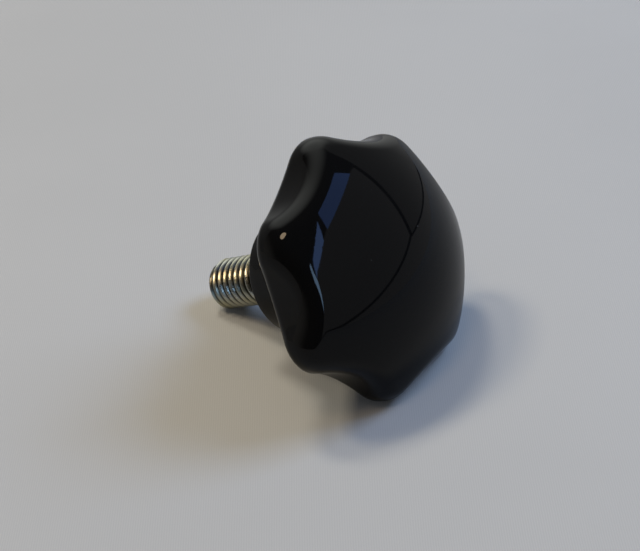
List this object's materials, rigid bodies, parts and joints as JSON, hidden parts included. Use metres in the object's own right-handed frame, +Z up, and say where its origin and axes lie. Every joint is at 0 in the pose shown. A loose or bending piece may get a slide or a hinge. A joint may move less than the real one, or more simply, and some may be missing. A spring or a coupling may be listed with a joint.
{
  "type": "star knob",
  "caption": "Rounded star knob for tightening by hand, with a domed head, a short hub and a moulded-in metal threaded stud, lying on its side.",
  "frame": {"origin": "on the bench, under the middle of the whole knob's box as it lies on two lobes and the stud's tip", "axes": "+Z up; the knob's own axis lies in the XZ plane and rises towards +X, from the stud's tip at -X to the domed face; the knob is symmetric about the XZ plane"},
  "size_m": [0.0412, 0.0392, 0.0354],
  "materials": {
    "black_plastic": "polished thermoset moulding",
    "zinc_steel": "zinc plated rolled thread"
  },
  "bodies": {
    "root": {"star_handle": "black_plastic", "threaded_stud": "zinc_steel"}
  },
  "joints": []
}
